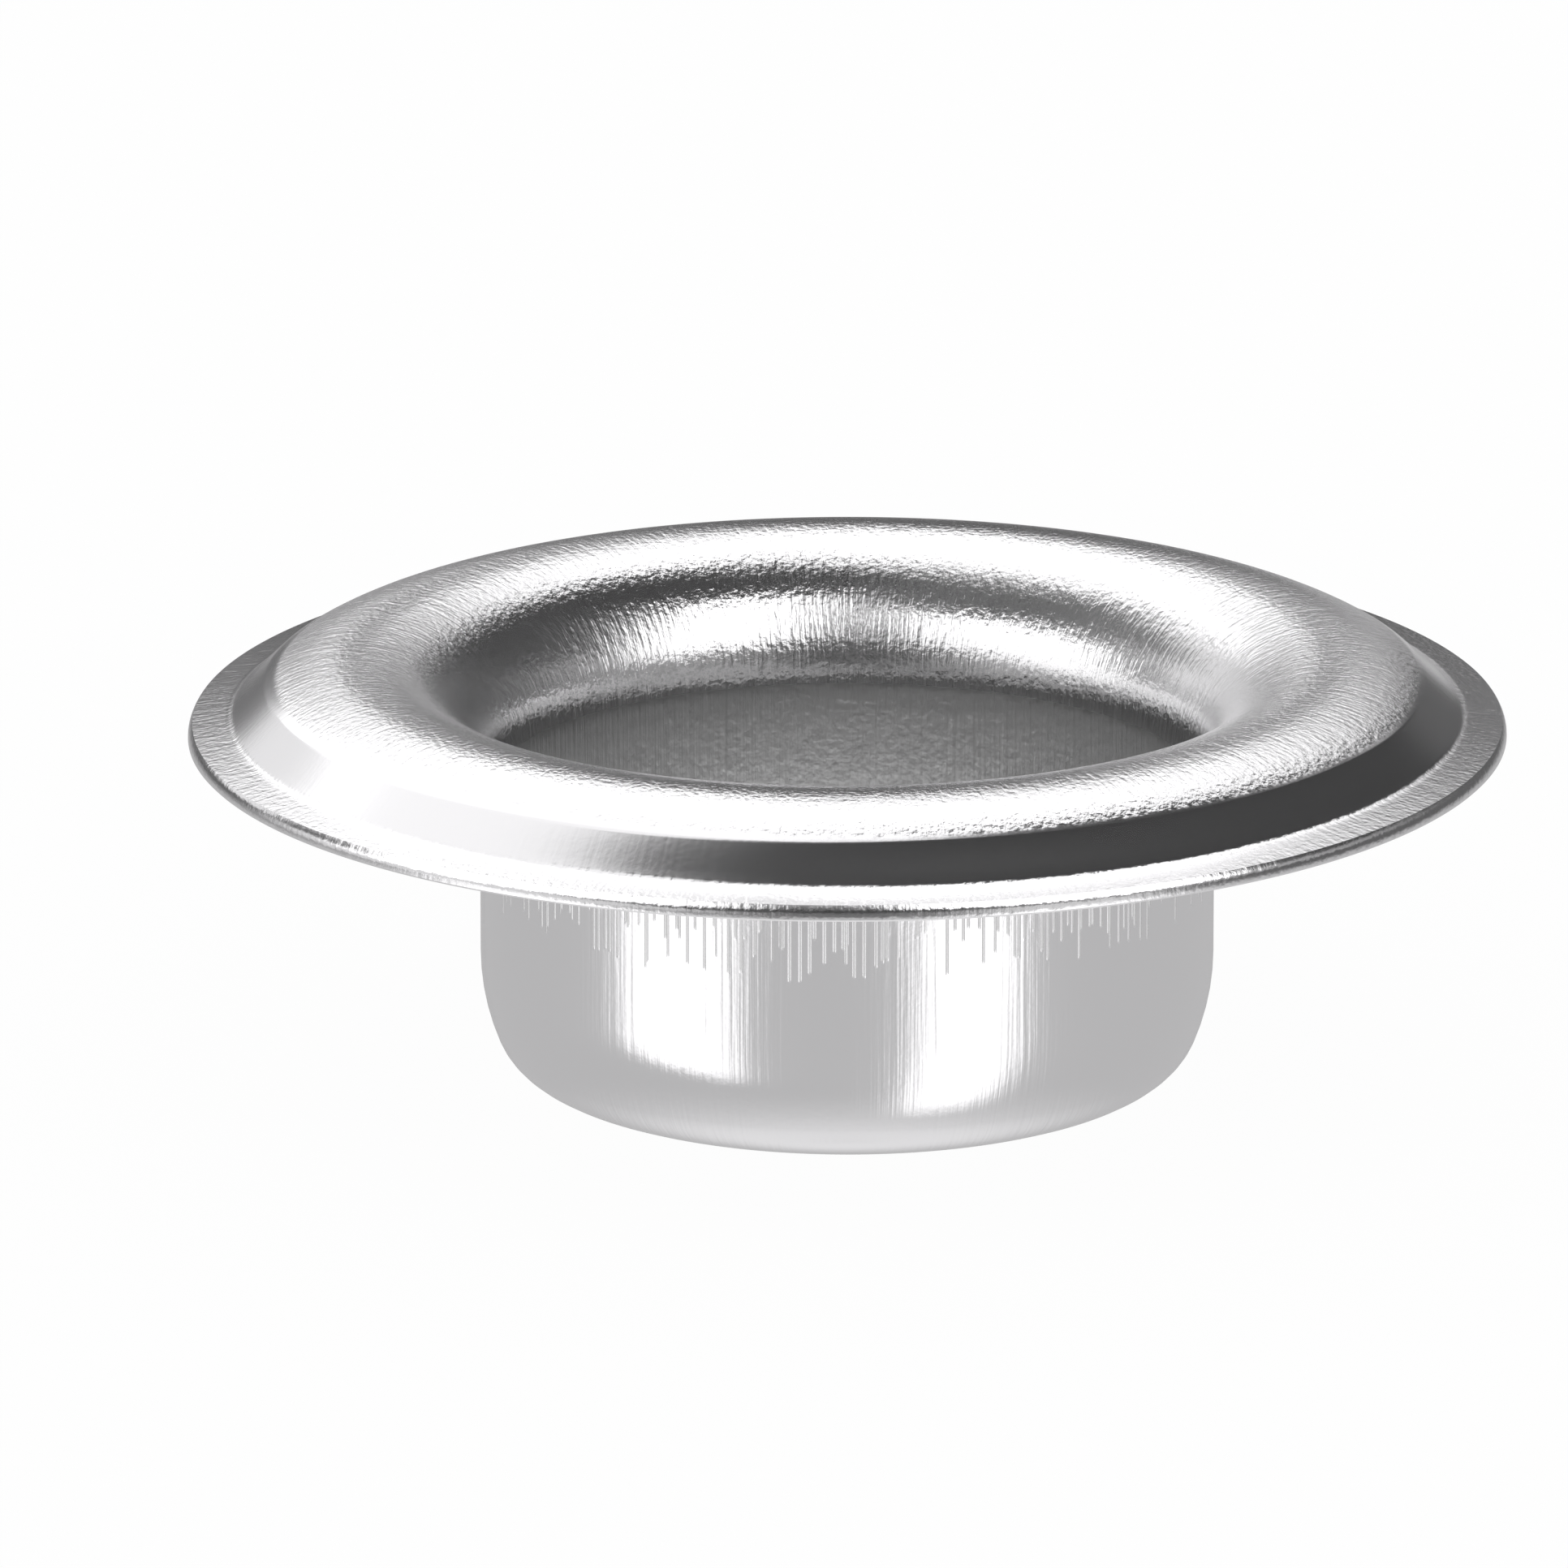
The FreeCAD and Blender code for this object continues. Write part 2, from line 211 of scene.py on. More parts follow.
def draw_ring(before, ring):
    """Pull the next ring of the sheet out of the last one; a ring is its radius, its height, its
    shift to the right, its tilt up to the right and its pitch up to the back."""
    grow = ring[0] / before[0]
    bpy.ops.mesh.extrude_edges_move()
    bpy.ops.transform.resize(value=(grow, grow, grow), center_override=(before[2], 0, before[1]))
    bpy.ops.transform.translate(value=(ring[2] - before[2], 0, ring[1] - before[1]))
    turn_ring(before, ring)


def draw_eyelet():
    """Draw the sheet ring by ring, from its blanked edge in over the bead, down the barrel and
    back along the underside to the edge."""
    rings = []
    for radius, height in whole_section():
        shift = BEAD_SHIFT * bead_share(radius, height, RIM_RADIUS)
        tilt = FLANGE_TILT * (1 if radius > CREST_AT else bead_share(radius, height, RIM_START))
        pitch = RIM_PITCH * smooth_step(SHOULDER_END, RIM_START, radius)
        rings.append((radius, height, shift, tilt, pitch))
    nothing_selected()
    bpy.ops.mesh.primitive_circle_add(
        vertices=AROUND, radius=rings[0][0], fill_type="NOTHING", location=(0, 0, rings[0][1]))
    eyelet = bpy.context.object
    eyelet.name = "drawn_eyelet"
    bpy.ops.object.transform_apply(location=True, rotation=True, scale=True)
    bpy.ops.object.mode_set(mode="EDIT")
    bpy.ops.mesh.select_all(action="SELECT")
    flat_ring = (*rings[0][:3], 0, 0)
    turn_ring(flat_ring, rings[0])
    for before, ring in zip(rings, rings[1:]):
        draw_ring(before, ring)
    bpy.ops.mesh.select_all(action="SELECT")
    bpy.ops.mesh.remove_doubles(threshold=SEAM_GAP)
    bpy.ops.mesh.normals_make_consistent(inside=False)
    bpy.ops.object.mode_set(mode="OBJECT")
    return eyelet


def to_metres(eyelet):
    eyelet.scale = (MM, MM, MM)
    bpy.ops.object.transform_apply(location=True, rotation=True, scale=True)


# Node helpers

def feed(tree, value, socket):
    """Link a socket to another, or set it to a plain value."""
    if isinstance(value, bpy.types.NodeSocket):
        tree.links.new(value, socket)
    else:
        socket.default_value = value


def calc(tree, operation, *values):
    node = tree.nodes.new("ShaderNodeMath")
    node.operation = operation
    for value, socket in zip(values, node.inputs):
        feed(tree, value, socket)
    return node.outputs[0]


def vector_calc(tree, operation, *values):
    node = tree.nodes.new("ShaderNodeVectorMath")
    node.operation = operation
    for value, socket in zip(values, node.inputs):
        feed(tree, value, socket)
    gives_number = operation in ("LENGTH", "DOT_PRODUCT")
    return node.outputs["Value"] if gives_number else node.outputs["Vector"]


def fade(tree, value, low, high, at_low=0.0, at_high=1.0):
    """A soft step between two places."""
    node = tree.nodes.new("ShaderNodeMapRange")
    node.interpolation_type = "SMOOTHSTEP"
    for name, given in (("Value", value), ("From Min", low), ("From Max", high),
                        ("To Min", at_low), ("To Max", at_high)):
        feed(tree, given, node.inputs[name])
    return node.outputs["Result"]


def noise(tree, place, scale, detail):
    node = tree.nodes.new("ShaderNodeTexNoise")
    feed(tree, place, node.inputs["Vector"])
    feed(tree, scale, node.inputs["Scale"])
    node.inputs["Detail"].default_value = detail
    return node.outputs["Fac"]


def flat_place(tree, place):
    """A place brought down to the ground plane."""
    parts = tree.nodes.new("ShaderNodeSeparateXYZ")
    feed(tree, place, parts.inputs[0])
    flat = tree.nodes.new("ShaderNodeCombineXYZ")
    tree.links.new(parts.outputs["X"], flat.inputs["X"])
    tree.links.new(parts.outputs["Y"], flat.inputs["Y"])
    return flat.outputs[0]


def blend(tree, value, *zones):
    """A value that changes over to each zone's own one where that zone's mask is 1."""
    for mask, in_zone in zones:
        mix = tree.nodes.new("ShaderNodeMix")
        feed(tree, mask, mix.inputs["Factor"])
        feed(tree, value, mix.inputs["A"])
        feed(tree, in_zone, mix.inputs["B"])
        value = mix.outputs["Result"]
    return value


def blend_colour(tree, colour, *zones):
    for mask, in_zone in zones:
        mix = tree.nodes.new("ShaderNodeMix")
        mix.data_type = "RGBA"
        sockets = [socket for socket in mix.inputs if socket.type == "RGBA"]
        feed(tree, mask, mix.inputs[0])
        feed(tree, colour, sockets[0])
        feed(tree, in_zone, sockets[1])
        colour = [socket for socket in mix.outputs if socket.type == "RGBA"][0]
    return colour


def new_group(name, inputs, outputs):
    """An empty node group with its named sockets; returns the tree, what is given, what goes out."""
    kinds = {"float": "NodeSocketFloat", "vector": "NodeSocketVector"}
    tree = bpy.data.node_groups.new(name, "ShaderNodeTree")
    for socket, kind in inputs:
        tree.interface.new_socket(socket, in_out="INPUT", socket_type=kinds[kind])
    for socket, kind in outputs:
        tree.interface.new_socket(socket, in_out="OUTPUT", socket_type=kinds[kind])
    given = tree.nodes.new("NodeGroupInput")
    put_out = tree.nodes.new("NodeGroupOutput")
    return tree, given.outputs, put_out.inputs


def use_group(tree, group, **values):
    node = tree.nodes.new("ShaderNodeGroup")
    node.node_tree = group
    for name, value in values.items():
        feed(tree, value, node.inputs[name.replace("_", " ")])
    return node.outputs


def new_material(name):
    material = bpy.data.materials.new(name)
    material.use_nodes = True
    return material, material.node_tree


# Surface of the metal

# The eyelet is one metal. The bore and the neck above it are coloured darker than it really is, to
# match the photograph's greys there:
# painted shade inside the barrel, not the metal's own colour.
BRIGHT_ALUMINIUM = (0.88, 0.88, 0.885, 1)
BORE_PAINTED_SHADE = (0.52, 0.52, 0.52, 1)
NECK_PAINTED_SHADE = (0.48, 0.48, 0.48, 1)
SCORE_WHITE = (0.95, 0.95, 0.95, 1)
SCORE_UNMETALLIC = -0.9
SCORE_RELIEF = 0.4
BRUSHED = 0.8
GRAIN_DEPTH = 0.012
HEIGHT_RUN = 0.9

# Where each zone of the surface fades in or out: radius or height at the start and end of the fade
TUBE_OUTSIDE = (5.45, 5.5)
TUBE_TOP = (4.3, 4.9)
THROAT_OUTSIDE = (5.3, 6.6)
THROAT_BOTTOM = (4.2, 4.8)
NECK_BOTTOM = (3.6, 4.5)
NECK_TOP = (4.5, 5.2)
FLANK_INSIDE = (8.2, 8.32)
FLANK_OUTSIDE = (8.84, 8.94)
RIM_INSIDE = (8.88, 8.98)
EDGE_INSIDE = (RIM_RADIUS - 0.03, RIM_RADIUS - 0.01)
EDGE_TOP = (RIM_SEAT + 0.09, RIM_SEAT + 0.13)
COLLAR_BOTTOM = (3.3, 4.3)
FACING_IN = (-0.3, 0.3)

# Grain: width and length of the drawing lines, size and share of the peel between them
FINE_GRAIN = {"Line_width": 0.07, "Line_length": 0.4, "Peel_size": 0.09, "Peel_share": 0.55}
RAGGED_GRAIN = {"Line_width": 0.1, "Line_length": 0.8, "Peel_size": 0.2, "Peel_share": 0.3}
LONG_GRAIN = {"Line_width": 0.11, "Line_length": 4.0, "Peel_size": 0.2, "Peel_share": 0.1}
SCORES = {"Spacing": 0.11, "Width": 0.036, "Lower_end": 2.85, "Raggedness": 0.75}
CLUSTERS_AROUND = 3.2
CHANCE_IN_CLUSTER = 0.35
CLUSTER_FADE = (0.4, 0.55)
SCORE_END_FADE = 0.04
SCORE_CORE = 0.6
SCORE_SKIRT = 1.4

# How much of each grain, and how rough, in each zone; later zones lie over earlier ones
FINE_SHARE = {"elsewhere": 2.0, "rim": 0.8, "flank": 0.12, "throat": 1.2, "bore": 0.6,
              "barrel": 0.15, "collar": 1.0}
RAGGED_SHARE = {"elsewhere": 0.9, "rim": 0.4, "edge": 0.1, "flank": 0.1, "throat": 1.4, "bore": 0.8,
                "barrel": 0.08}
LONG_SHARE = {"elsewhere": 0.0, "bore": 1.6, "barrel": 0.5}
ROUGHNESS = {"elsewhere": 0.24, "rim": 0.15, "edge": 0.2, "flank": 0.16, "throat": 0.21,
             "bore": 0.42, "neck": 0.26, "barrel": 0.14, "collar": 0.2}


def ring_place_group():
    """Where a point lies on the eyelet: distance from the axis, height, and a place for noise
    that runs around in rings without a seam. Everything is in millimetres."""
    tree, given, put_out = new_group(
        "ring_place", [("Place", "vector"), ("Around", "float"), ("Along", "float")],
        [("Radius", "float"), ("Height", "float"), ("Ring place", "vector")])
    in_mm = vector_calc(tree, "SCALE", given["Place"])
    in_mm.node.inputs["Scale"].default_value = 1 / MM
    parts = tree.nodes.new("ShaderNodeSeparateXYZ")
    tree.links.new(in_mm, parts.inputs[0])
    flat = flat_place(tree, in_mm)
    radius = vector_calc(tree, "LENGTH", flat)
    direction = vector_calc(tree, "NORMALIZE", flat)
    round_it = vector_calc(tree, "SCALE", direction)
    feed(tree, given["Around"], round_it.node.inputs["Scale"])
    run = calc(tree, "MULTIPLY_ADD", parts.outputs["Z"], HEIGHT_RUN, radius)
    lengthwise = tree.nodes.new("ShaderNodeCombineXYZ")
    feed(tree, calc(tree, "MULTIPLY", run, given["Along"]), lengthwise.inputs["Z"])
    tree.links.new(radius, put_out["Radius"])
    tree.links.new(parts.outputs["Z"], put_out["Height"])
    tree.links.new(vector_calc(tree, "ADD", round_it, lengthwise.outputs[0]), put_out["Ring place"])
    return tree


def grain_group(ring_place):
    """Drawing lines that run along the section, and the peel that stretching raises."""
    tree, given, put_out = new_group(
        "drawn_grain", [("Place", "vector"), ("Line width", "float"), ("Line length", "float"),
                        ("Peel size", "float"), ("Peel share", "float")], [("Grain", "float")])
    around = calc(tree, "DIVIDE", CREST_AT, given["Line width"])
    along = calc(tree, "DIVIDE", 1.0, given["Line length"])
    lines_at = use_group(tree, ring_place, Place=given["Place"], Around=around, Along=along)
    lines = noise(tree, lines_at["Ring place"], 1.0, 2.0)
    peel_scale = calc(tree, "DIVIDE", 1 / MM, given["Peel size"])
    peel = noise(tree, given["Place"], peel_scale, 2.0)
    grain = calc(tree, "SUBTRACT", blend(tree, lines, (given["Peel share"], peel)), 0.5)
    tree.links.new(grain, put_out["Grain"])
    return tree


def draw_dash_group(ring_place):
    """Short bright scores that the die left on the barrel, side by side in loose clusters."""
    tree, given, put_out = new_group(
        "draw_dashes", [("Place", "vector"), ("Spacing", "float"), ("Width", "float"),
                        ("Lower end", "float"), ("Raggedness", "float")], [("Dashes", "float")])
    spot = use_group(tree, ring_place, Place=given["Place"], Around=CLUSTERS_AROUND, Along=0.0)
    parts = tree.nodes.new("ShaderNodeSeparateXYZ")
    feed(tree, given["Place"], parts.inputs[0])
    turn = calc(tree, "ARCTAN2", parts.outputs["X"], parts.outputs["Y"])
    place_in_row = calc(tree, "MULTIPLY", turn, calc(tree, "DIVIDE", BARREL_RADIUS, given["Spacing"]))
    row = tree.nodes.new("ShaderNodeTexVoronoi")
    row.voronoi_dimensions = "1D"
    feed(tree, place_in_row, row.inputs["W"])
    row.inputs["Scale"].default_value = 1.0
    half_width = calc(tree, "DIVIDE", calc(tree, "MULTIPLY", given["Width"], 0.5), given["Spacing"])
    line = fade(tree, row.outputs["Distance"], calc(tree, "MULTIPLY", half_width, SCORE_CORE),
                calc(tree, "MULTIPLY", half_width, SCORE_SKIRT), 1.0, 0.0)
    chance = tree.nodes.new("ShaderNodeSeparateColor")
    tree.links.new(row.outputs["Color"], chance.inputs[0])
    cluster = noise(tree, spot["Ring place"], 1.0, 1.0)
    luck = calc(tree, "MULTIPLY", chance.outputs["Red"], CHANCE_IN_CLUSTER)
    present = fade(tree, calc(tree, "ADD", cluster, luck), *CLUSTER_FADE)
    end = calc(tree, "MULTIPLY_ADD", chance.outputs["Green"], given["Raggedness"], given["Lower end"])
    above = fade(tree, spot["Height"], calc(tree, "SUBTRACT", end, SCORE_END_FADE),
                 calc(tree, "ADD", end, SCORE_END_FADE))
    tree.links.new(calc(tree, "MULTIPLY", calc(tree, "MULTIPLY", line, present), above),
                   put_out["Dashes"])
    return tree


def surface_zones(tree, place, spot):
    """Masks of the parts of the sheet that the press finished in its own way each; the bore and neck
    masks also carry painted shade in the colour.
    """
    radius, height = spot["Radius"], spot["Height"]
    normal = tree.nodes.new("ShaderNodeSeparateXYZ")
    tree.links.new(tree.nodes.new("ShaderNodeTexCoord").outputs["Normal"], normal.inputs[0])
    outwards = tree.nodes.new("ShaderNodeCombineXYZ")
    tree.links.new(normal.outputs["X"], outwards.inputs["X"])
    tree.links.new(normal.outputs["Y"], outwards.inputs["Y"])
    lean_out = vector_calc(tree, "DOT_PRODUCT", outwards.outputs[0],
                           vector_calc(tree, "NORMALIZE", flat_place(tree, place)))
    faces_in = fade(tree, calc(tree, "SUBTRACT", normal.outputs["Z"], lean_out), *FACING_IN)
    in_tube = fade(tree, radius, *TUBE_OUTSIDE, 1.0, 0.0)
    below_bead = fade(tree, height, *TUBE_TOP, 1.0, 0.0)
    tube = calc(tree, "MULTIPLY", in_tube, below_bead)
    bore = calc(tree, "MULTIPLY", tube, faces_in)
    throat = calc(tree, "MULTIPLY", fade(tree, radius, *THROAT_OUTSIDE, 1.0, 0.0),
                  fade(tree, height, *THROAT_BOTTOM))
    neck = calc(tree, "MULTIPLY", fade(tree, height, *NECK_BOTTOM),
                fade(tree, height, *NECK_TOP, 1.0, 0.0))
    barrel = calc(tree, "SUBTRACT", tube, bore)
    return {
        "rim": fade(tree, radius, *RIM_INSIDE),
        "edge": calc(tree, "MULTIPLY", fade(tree, radius, *EDGE_INSIDE),
                     fade(tree, height, *EDGE_TOP, 1.0, 0.0)),
        "neck": calc(tree, "MULTIPLY", calc(tree, "MULTIPLY", neck, faces_in), in_tube),
        "flank": calc(tree, "MULTIPLY", fade(tree, radius, *FLANK_INSIDE),
                      fade(tree, radius, *FLANK_OUTSIDE, 1.0, 0.0)),
        "throat": throat,
        "bore": bore,
        "barrel": barrel,
        "collar": calc(tree, "MULTIPLY", barrel, fade(tree, height, *COLLAR_BOTTOM)),
    }


def by_zone(tree, zone, values):
    """A value given for each zone by name, and for all the rest under "elsewhere"."""
    named = [(zone[name], value) for name, value in values.items() if name != "elsewhere"]
    return blend(tree, values["elsewhere"], *named)


def drawn_aluminium():
    ring_place = ring_place_group()
    grain_lines = grain_group(ring_place)
    dash_lines = draw_dash_group(ring_place)

    material, tree = new_material("drawn_aluminium")
    metal = tree.nodes["Principled BSDF"]
    place = tree.nodes.new("ShaderNodeTexCoord").outputs["Object"]
    spot = use_group(tree, ring_place, Place=place, Around=1.0, Along=1.0)
    zone = surface_zones(tree, place, spot)

    fine = use_group(tree, grain_lines, Place=place, **FINE_GRAIN)["Grain"]
    ragged = use_group(tree, grain_lines, Place=place, **RAGGED_GRAIN)["Grain"]
    long_lines = use_group(tree, grain_lines, Place=place, **LONG_GRAIN)["Grain"]
    all_dashes = use_group(tree, dash_lines, Place=place, **SCORES)["Dashes"]
    dashes = calc(tree, "MULTIPLY", all_dashes, zone["barrel"])

    height = calc(tree, "MULTIPLY", fine, by_zone(tree, zone, FINE_SHARE))
    height = calc(tree, "MULTIPLY_ADD", ragged, by_zone(tree, zone, RAGGED_SHARE), height)
    height = calc(tree, "MULTIPLY_ADD", long_lines, by_zone(tree, zone, LONG_SHARE), height)
    relief = tree.nodes.new("ShaderNodeBump")
    relief.inputs["Strength"].default_value = 1.0
    relief.inputs["Distance"].default_value = GRAIN_DEPTH * MM
    feed(tree, calc(tree, "MULTIPLY_ADD", dashes, SCORE_RELIEF, height), relief.inputs["Height"])
    tree.links.new(relief.outputs["Normal"], metal.inputs["Normal"])

    lay = tree.nodes.new("ShaderNodeTangent")
    lay.direction_type = "RADIAL"
    lay.axis = "Z"
    tree.links.new(lay.outputs["Tangent"], metal.inputs["Tangent"])
    metal.inputs["Anisotropic"].default_value = BRUSHED
    # The bore and neck colours are painted shade, darker than the bright metal; the scores' white is
    # their own colour.
    colour = blend_colour(tree, BRIGHT_ALUMINIUM, (zone["bore"], BORE_PAINTED_SHADE),
                          (zone["neck"], NECK_PAINTED_SHADE), (dashes, SCORE_WHITE))
    feed(tree, colour, metal.inputs["Base Color"])
    feed(tree, by_zone(tree, zone, ROUGHNESS), metal.inputs["Roughness"])
    feed(tree, calc(tree, "MULTIPLY_ADD", dashes, SCORE_UNMETALLIC, 1.0), metal.inputs["Metallic"])
    return material


# Studio

# Lit windows of the reflecting tent: bearing (0 behind the eyelet, 90 to its right) and half
# width, elevation and half height, softness as a share of both, lean, strength
TENT_WINDOWS = [
    (-48, 56, 58, 28, 0.25, 0.1, 1.02),
    (-105, 22, 74, 6, 0.6, 0.0, 0.15),
    (-22, 28, 56, 24, 0.4, 0.0, 0.25),
    (20, 19, 60, 23, 0.2, 0.0, 1.15),
    (-42, 20, 21, 13, 0.15, 0.0, 0.8),
    (-18, 14, 27.5, 8.5, 0.15, 0.0, 1.0),
    (-4, 11, 33, 5, 0.3, 0.0, 0.5),
    (17, 14, 32.5, 9, 0.3, 0.0, 0.7),
    (9, 4, 0, 8, 0.3, 0.0, 0.5),
    (-122, 37, 31, 17, 0.2, -0.27, 1.5),
    (137, 33, 44, 22, 0.1, 0.15, 1.6),
    (180, 12, 58, 9, 0.35, 0.0, 0.35),
    (110, 44, 18, 6, 0.5, 0.0, 0.25),
    (-110, 47, 4, 9, 0.25, 0.0, 0.6),
    (142, 18, 4, 9, 0.3, 0.0, 0.6),
    (0, 400, 4, 13, 0.3, 0.0, 0.07),
    (0, 400, -52, 44, 0.16, 0.0, 0.47),
    (0, 400, -78, 22, 0.9, 0.0, 0.3),
    (-124.5, 19, -17, 12.5, 0.35, 0.25, 1.0),
    (142, 17, -27, 21, 0.3, -0.2, 0.9),
]
TENT_TINT = (1.0, 0.99, 1.0, 1)
TENT_DARK = 0.052
TENT_RADIUS = 1.5
WINDOW_CORNERS = 4.0
FLOOR_SIZE = 3.0
FLOOR_WHITE = 0.96

# Lit card under the pierced hole, brighter than white, that lights the bore
UNDER_CARD_RADIUS = 4.0
UNDER_CARD_HEIGHT = 0.15
UNDER_CARD_GLOW = 1.3

# Grey card beside the far side of the funnel: centre, width and height in millimetres
FLAG_PLACE = (-2.0, 5.6, 13.2)
FLAG_WIDTH = 5.4
FLAG_HEIGHT = 9.4
FLAG_GLOW = 0.15


def window_group():
    """A soft-edged lit window with round corners, seen in one direction from inside the tent."""
    tree, given, put_out = new_group(
        "soft_window", [("Direction", "vector"), ("Bearing", "float"), ("Half width", "float"),
                        ("Elevation", "float"), ("Half height", "float"), ("Softness", "float"),
                        ("Lean", "float")], [("Lit", "float")])
    turned = tree.nodes.new("ShaderNodeVectorRotate")
    turned.rotation_type = "Z_AXIS"
    tree.links.new(given["Direction"], turned.inputs["Vector"])
    feed(tree, calc(tree, "RADIANS", given["Bearing"]), turned.inputs["Angle"])
    parts = tree.nodes.new("ShaderNodeSeparateXYZ")
    tree.links.new(turned.outputs["Vector"], parts.inputs[0])
    across = calc(tree, "DEGREES", calc(tree, "ARCTAN2", parts.outputs["X"], parts.outputs["Y"]))
    up = calc(tree, "DEGREES", calc(tree, "ARCSINE", parts.outputs["Z"]))
    middle = calc(tree, "MULTIPLY_ADD", across, given["Lean"], given["Elevation"])
    powers = []
    for off, half in ((across, given["Half width"]),
                      (calc(tree, "SUBTRACT", up, middle), given["Half height"])):
        share = calc(tree, "DIVIDE", calc(tree, "ABSOLUTE", off), half)
        powers.append(calc(tree, "POWER", share, WINDOW_CORNERS))
    from_middle = calc(tree, "POWER", calc(tree, "ADD", *powers), 1 / WINDOW_CORNERS)
    lit = fade(tree, from_middle, calc(tree, "SUBTRACT", 1.0, given["Softness"]),
               calc(tree, "ADD", 1.0, given["Softness"]), 1.0, 0.0)
    tree.links.new(lit, put_out["Lit"])
    return tree


def only_in_reflections(card):
    card.visible_camera = False
    card.visible_diffuse = False
    card.visible_shadow = False
    card.visible_transmission = False


def reflecting_tent():
    """A dark tent with soft windows, placed for the photograph's camera and seen only in the metal's
    reflections."""
    window = window_group()
    nothing_selected()
    bpy.ops.mesh.primitive_uv_sphere_add(segments=64, ring_count=32, radius=TENT_RADIUS)
    tent = bpy.context.object
    tent.name = "reflecting_tent"
    material, tree = new_material("tent_cloth")
    material.cycles.emission_sampling = "NONE"
    tree.nodes.clear()
    place = tree.nodes.new("ShaderNodeTexCoord")
    direction = vector_calc(tree, "NORMALIZE", place.outputs["Object"])
    total = TENT_DARK
    for bearing, half_width, elevation, half_height, softness, lean, strength in TENT_WINDOWS:
        lit = use_group(tree, window, Direction=direction, Bearing=bearing, Half_width=half_width,
                        Elevation=elevation, Half_height=half_height, Softness=softness, Lean=lean)
        total = calc(tree, "MULTIPLY_ADD", lit["Lit"], strength, total)
    glow = tree.nodes.new("ShaderNodeEmission")
    glow.inputs["Color"].default_value = TENT_TINT
    tree.links.new(total, glow.inputs["Strength"])
    out = tree.nodes.new("ShaderNodeOutputMaterial")
    tree.links.new(glow.outputs["Emission"], out.inputs["Surface"])
    tent.data.materials.append(material)
    only_in_reflections(tent)


def glowing_card(card, name, glow_strength):
    """Make an object a card that the metal mirrors at one even strength, from its front only."""
    card.name = name
    material, tree = new_material(name)
    material.cycles.emission_sampling = "NONE"
    tree.nodes.clear()
    glow = tree.nodes.new("ShaderNodeEmission")
    glow.inputs["Strength"].default_value = glow_strength
    clear = tree.nodes.new("ShaderNodeBsdfTransparent")
    sides = tree.nodes.new("ShaderNodeMixShader")
    tree.links.new(tree.nodes.new("ShaderNodeNewGeometry").outputs["Backfacing"], sides.inputs["Fac"])
    tree.links.new(glow.outputs["Emission"], sides.inputs[1])
    tree.links.new(clear.outputs["BSDF"], sides.inputs[2])
    out = tree.nodes.new("ShaderNodeOutputMaterial")
    tree.links.new(sides.outputs["Shader"], out.inputs["Surface"])
    card.data.materials.append(material)
    only_in_reflections(card)


def card_under_hole():
    """A lit card that the inside of the barrel mirrors through the pierced hole."""
    nothing_selected()
    bpy.ops.mesh.primitive_circle_add(vertices=64, radius=UNDER_CARD_RADIUS * MM, fill_type="NGON",
                                      location=(0, 0, UNDER_CARD_HEIGHT * MM))
    glowing_card(bpy.context.object, "card_under_hole", UNDER_CARD_GLOW)


def flag_over_funnel():
    """A small upright grey card that takes the glare off the right side of the funnel."""
    nothing_selected()
    bpy.ops.mesh.primitive_plane_add(size=MM, location=Vector(FLAG_PLACE) * MM,
                                     rotation=(0, math.radians(90), 0))
    card = bpy.context.object
    card.scale = (FLAG_HEIGHT, FLAG_WIDTH, 1)
    glowing_card(card, "flag_over_funnel", FLAG_GLOW)


def background_share(tree, share):
    """How much of the plain white a ray sees: camera, mirror and glass rays see it."""
    rays = tree.nodes.new("ShaderNodeLightPath").outputs
    direct = calc(tree, "MAXIMUM", rays["Is Camera Ray"], rays["Is Glossy Ray"])
    seen = calc(tree, "MAXIMUM", direct, rays["Is Transmission Ray"])
    return calc(tree, "MULTIPLY", seen, share)


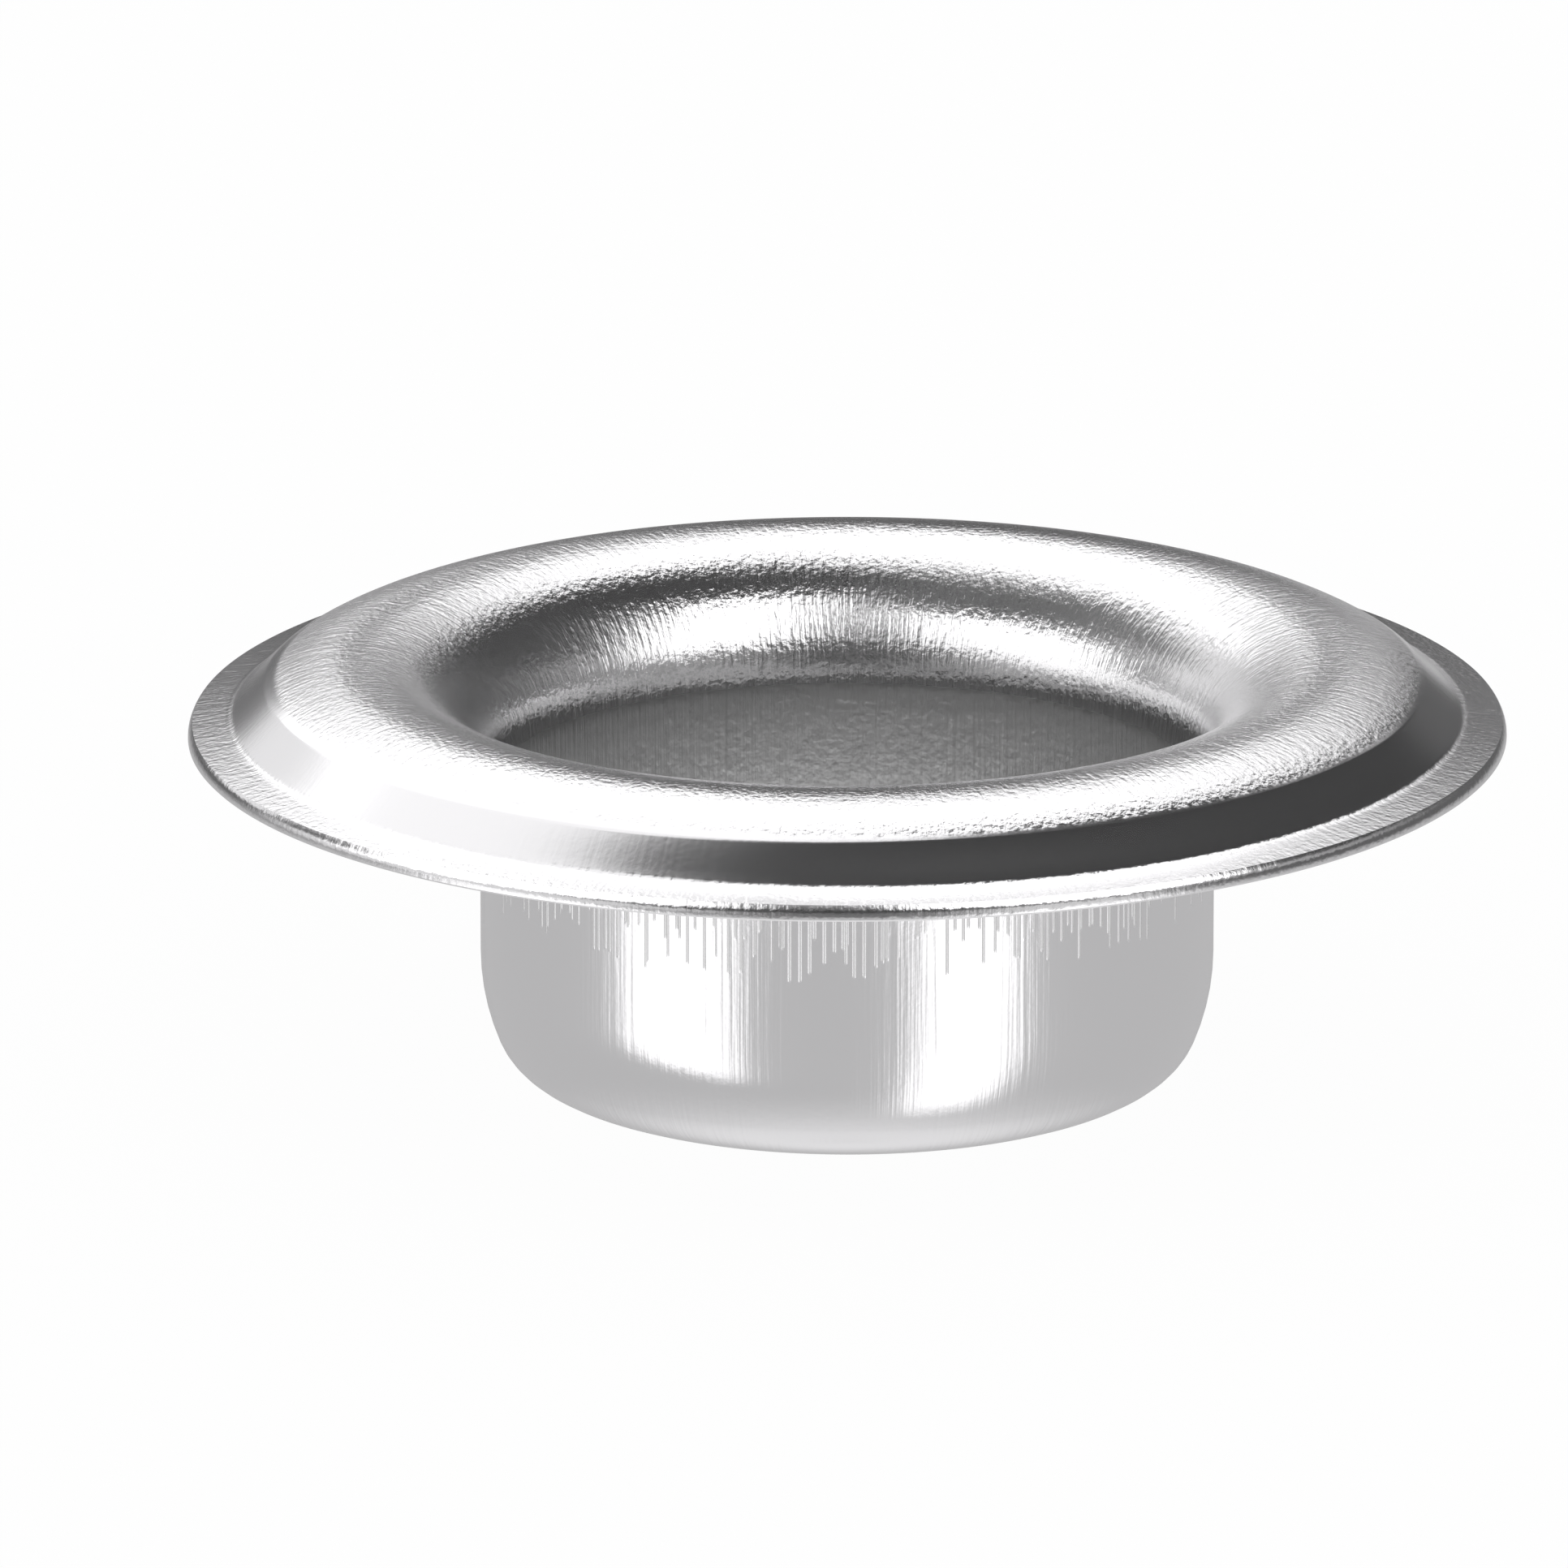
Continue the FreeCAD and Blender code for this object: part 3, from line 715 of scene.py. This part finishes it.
def white_floor():
    nothing_selected()
    bpy.ops.mesh.primitive_plane_add(size=FLOOR_SIZE)
    floor = bpy.context.object
    floor.name = "white_floor"
    floor.visible_glossy = False
    material, tree = new_material("white_floor")
    tree.nodes.clear()
    paint = tree.nodes.new("ShaderNodeBsdfDiffuse")
    paint.inputs["Color"].default_value = (1, 1, 1, 1)
    white = tree.nodes.new("ShaderNodeEmission")
    white.inputs["Strength"].default_value = 1.0
    mix = tree.nodes.new("ShaderNodeMixShader")
    feed(tree, background_share(tree, FLOOR_WHITE), mix.inputs["Fac"])
    tree.links.new(paint.outputs["BSDF"], mix.inputs[1])
    tree.links.new(white.outputs["Emission"], mix.inputs[2])
    out = tree.nodes.new("ShaderNodeOutputMaterial")
    tree.links.new(mix.outputs["Shader"], out.inputs["Surface"])
    floor.data.materials.append(material)


def studio_world():
    world = bpy.data.worlds.new("studio")
    bpy.context.scene.world = world
    world.use_nodes = True
    tree = world.node_tree
    tree.nodes.clear()
    soft = tree.nodes.new("ShaderNodeBackground")
    soft.inputs["Strength"].default_value = 1.0
    white = tree.nodes.new("ShaderNodeBackground")
    white.inputs["Strength"].default_value = 1.0
    mix = tree.nodes.new("ShaderNodeMixShader")
    feed(tree, background_share(tree, 1.0), mix.inputs["Fac"])
    tree.links.new(soft.outputs["Background"], mix.inputs[1])
    tree.links.new(white.outputs["Background"], mix.inputs[2])
    out = tree.nodes.new("ShaderNodeOutputWorld")
    tree.links.new(mix.outputs["Shader"], out.inputs["Surface"])


def photo_camera():
    tilt = math.radians(CAMERA_ELEVATION)
    data = bpy.data.cameras.new("photo_camera")
    data.sensor_width = SENSOR
    data.lens = SENSOR * CAMERA_DISTANCE / FRAME_WIDTH
    data.clip_start = 0.01
    data.clip_end = 10.0
    camera = bpy.data.objects.new("photo_camera", data)
    bpy.context.collection.objects.link(camera)
    camera.location = AIM + CAMERA_DISTANCE * Vector((0, -math.cos(tilt), math.sin(tilt)))
    camera.rotation_euler = (math.radians(90) - tilt, 0, 0)
    bpy.context.scene.camera = camera


eyelet = draw_eyelet()
to_metres(eyelet)
bpy.ops.object.shade_smooth_by_angle(angle=math.radians(SHARP_ANGLE))
eyelet.data.materials.append(drawn_aluminium())
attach(eyelet, "root")
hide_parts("eyelet")

reflecting_tent()
card_under_hole()
flag_over_funnel()
white_floor()
studio_world()
photo_camera()
bpy.context.scene.view_settings.view_transform = "Standard"
